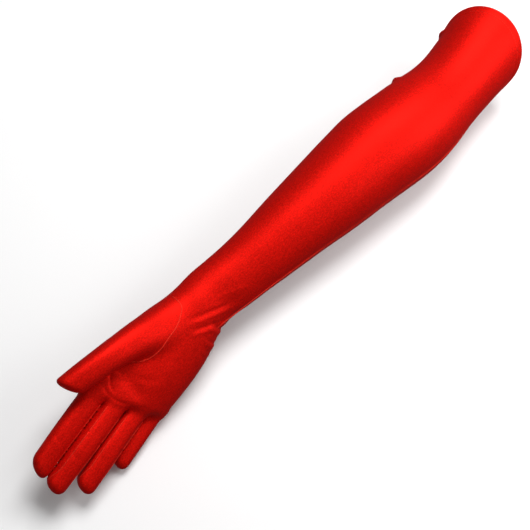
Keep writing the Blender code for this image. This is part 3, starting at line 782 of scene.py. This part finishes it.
def drop_on(line):
    """Where slanted lines through these positions first meet the cloth."""
    line = np.array(line, float)
    w = np.linspace(34.0, -12.0, 160)  # from clear of the palm to inside it
    found = []
    for u, v in line:
        f = field(u + LEAN_U * w, v + LEAN_V * w, w)
        k = int(np.argmax(f < 0))
        found.append((u + LEAN_U * w[k], v + LEAN_V * w[k], w[k]))
    return np.array(found)


thumb_seam = rib("thumb_seam", [surface_of(xyz(*drop_on(smooth_line(THUMB_SEAM, 70)).T))], 1.15, 0.3)

# the seam that runs over the thumb's tip, along its slanted end
TIP_SEAM_BACK, TIP_SEAM_RISE = 1.2, 3.2  # mm back from the thumb's end, and toward the palm's side
tip_x = np.linspace(-8.0, 7.4, 30)
tip_u = THUMB_END - TIP_SEAM_BACK + THUMB_SLANT * tip_x
tip_cv, tip_cw = look(THUMB_T, tip_u)[:2]
tip_line = surface_of(xyz(tip_u, tip_cv + tip_x, tip_cw + TIP_SEAM_RISE), tube_field)
thumb_tip_seam = rib("thumb_tip_seam", [tip_line], 1.1, 0.34)

# half a fourchette's width, as an angle round the finger: on the thumb's side and on the other side;
# its two edges close up toward the tip over FOURCHETTE_TAPER mm
FOURCHETTE_HALF = {1: math.radians(50.0), -1: math.radians(33.0)}
FOURCHETTE_TAPER = 16.0


def finger_seams(name, index, sides, start, stop):
    """The two edges of each fourchette over one length of a finger."""
    table, end = FINGER_T[index], FINGER_END[index]
    found = []
    for side in sides:
        for edge in (1.0, -1.0):
            u = np.linspace(start, stop, 26)
            cv, cw, a, b = look(table, u)
            half = FOURCHETTE_HALF[side] * np.sqrt(np.clip((end - 1.0 - u) / FOURCHETTE_TAPER, 0.0, 1.0))
            angle = (0.0 if side > 0 else math.pi) + edge * side * half
            nose = np.sqrt(np.clip(1 - (np.maximum(u - (end - NOSE), 0.0) / NOSE) ** 2, 0.02, 1.0))
            v, w = cv + a * nose * np.cos(angle), cw + b * nose * np.sin(angle)
            found.append(surface_of(xyz(u, opened(u, v, w), w)))
    return rib(name, found, 0.9, 0.34)


# the sides of each finger that have a fourchette: 1 is the thumb's side
FOURCHETTES = {"index": (-1,), "middle": (1, -1), "ring": (1, -1), "little": (1,)}
seams = {}
for k, name in enumerate(FINGERS):
    first, second = HINGES[name]
    root_at = first + BENDS[name][0][1] + 1.0
    split = second + BENDS[name][1][0] + 1.5
    seams[name] = (finger_seams(name + "_root_seams", k, FOURCHETTES[name], root_at, split),
                   finger_seams(name + "_end_seams", k, FOURCHETTES[name], split, FINGER_END[k] - 3.0))

# the long side seam: up the sleeve on the little-finger side, and along the palm's edge
SIDE_SEAM_END = 312.0  # mm back from the hem, near the wrist
side_turn = np.array((math.pi,))
side_backs = np.linspace(HEM_DEPTH + 1.5, SIDE_SEAM_END, 90)
sleeve_side = np.array([sleeve_point(side_turn, back, 0.0)[0] for back in side_backs])
side_out = np.tile((0.0, -1.0, 0.0), (len(sleeve_side), 1))
sleeve_side = sleeve_side + side_out * fold(sleeve_side, side_out)[:, None]
side_seam = rib("side_seam", [(sleeve_side, side_out)], 1.3, 0.28)
edge_u = np.linspace(42.0, 158.0, 60)
edge_v, edge_w, edge_a, _, edge_drop, _ = look(BODY_T, edge_u)
edge_w -= edge_drop * 0.75  # what the little-finger side is let down by at its very edge
palm_edge = surface_of(xyz(edge_u, edge_v - edge_a, edge_w))
palm_side_seam = rib("palm_side_seam", [palm_edge], 1.2, 0.26)

# ---------------------------------------------------------------- what moves with what
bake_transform(upper)
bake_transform(lower)
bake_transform(side_seam)
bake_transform(palm_side_seam)
for name, (root, end) in digits.items():
    pieces = [(root, end)] + ([seams[name]] if name in seams else [])
    for first_piece, second_piece in pieces:
        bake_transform(first_piece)
        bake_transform(second_piece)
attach(hem, "upper_arm")
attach(hem_stitches, "upper_arm")
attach(thumb_seam, "hand")
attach(thumb_tip_seam, "thumb_tip")

# ---------------------------------------------------------------- which CAD pieces these stand for
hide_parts("upper_arm_trank", "forearm_trank", "elbow_flex")
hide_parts("upper_arm_side_seam", "forearm_side_seam")
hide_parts("wrist_flex", "hand_trank_palm", "hand_trank_back", "thumb_heel")
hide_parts("hem_band")
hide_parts("hem_stitch")
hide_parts("thumb_seam")
FOURCHETTE_NODES = {1: "inner", -1: "outer"}
for name, (root, end) in digits.items():
    fourchettes = [FOURCHETTE_NODES[side] for side in FOURCHETTES.get(name, ())]
    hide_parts(name + "_knuckle_flex", name + "_base_front", name + "_base_back",
                *[f"{name}_base_fourchette_{x}" for x in fourchettes])
    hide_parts(name + "_joint_flex", name + "_tip_front", name + "_tip_back",
                *[f"{name}_tip_fourchette_{x}" for x in fourchettes])


# ---------------------------------------------------------------- stage (metres from here on)
FLOOR_HALF, FLOOR_Z = 4.0, -0.0005
CORNERS = ((-1, -1), (1, -1), (1, 1), (-1, 1))
floor_white = bpy.data.materials.new("floor_white")
floor_white.use_nodes = True
floor_shader = floor_white.node_tree.nodes["Principled BSDF"]
floor_shader.inputs["Base Color"].default_value = (0.93, 0.93, 0.93, 1.0)
floor_shader.inputs["Roughness"].default_value = 0.9
floor_mesh = bpy.data.meshes.new("floor")
floor_corners = [(x * FLOOR_HALF, y * FLOOR_HALF, FLOOR_Z) for x, y in CORNERS]
floor_mesh.from_pydata(floor_corners, [], [(0, 1, 2, 3)])
floor_mesh.materials.append(floor_white)
floor = bpy.data.objects.new("floor", floor_mesh)
bpy.context.scene.collection.objects.link(floor)

AZIMUTH, ELEVATION = math.radians(-48.3), math.radians(66.0)
BACK = Vector((math.sin(AZIMUTH) * math.cos(ELEVATION), -math.cos(AZIMUTH) * math.cos(ELEVATION),
               math.sin(ELEVATION)))
RIGHT = Vector((math.cos(AZIMUTH), math.sin(AZIMUTH), 0.0))
UP = BACK.cross(RIGHT)
SHIFT = Vector(ORIGIN) / 1000.0  # the camera looks at the zero of the glove's frame, at minus this

CAMERA_DISTANCE, FIELD_OF_VIEW, SENSOR = 1.1, math.radians(23.0), 36.0
camera_data = bpy.data.cameras.new("camera")
camera_data.sensor_width = SENSOR
camera_data.lens = SENSOR / 2 / math.tan(FIELD_OF_VIEW / 2)
camera = bpy.data.objects.new("camera", camera_data)
camera.location = BACK * CAMERA_DISTANCE - SHIFT
camera.rotation_euler = BACK.to_track_quat("Z", "Y").to_euler()
bpy.context.scene.collection.objects.link(camera)
bpy.context.scene.camera = camera


def lamp(name, place, size, watts, target):
    """A white area lamp, size metres square, that faces its target."""
    data = bpy.data.lights.new(name, "AREA")
    data.shape = "RECTANGLE"
    data.size = data.size_y = size
    data.energy = watts
    made = bpy.data.objects.new(name, data)
    made.location = place
    aim = Vector(place) - Vector(target)
    made.rotation_euler = aim.to_track_quat("Z", "Y").to_euler()
    bpy.context.scene.collection.objects.link(made)


key_way = Vector((0.42, 0.13, 0.9)).normalized()
fill_way = (BACK * 0.8 - UP * 0.2 - RIGHT * 0.3).normalized()
lamp("key", tuple(key_way * 1.6), size=0.85, watts=23.5, target=(0.05, 0.0, 0.04))
lamp("fill", tuple(fill_way * 1.8), size=1.3, watts=4.5, target=(0.0, 0.0, 0.03))
lamp("side", (0.40, -0.38, 0.36), size=0.4, watts=2.4, target=(0.20, -0.02, 0.04))
# the floor takes the glove's shadow, but sends no light back onto it and shows in no reflection
floor.visible_diffuse = False
floor.visible_glossy = False

world = bpy.data.worlds.new("world")
world.use_nodes = True
world.node_tree.nodes["Background"].inputs["Color"].default_value = (1.0, 1.0, 1.0, 1.0)
world.node_tree.nodes["Background"].inputs["Strength"].default_value = 0.14
bpy.context.scene.world = world
bpy.context.scene.view_settings.view_transform = "Standard"
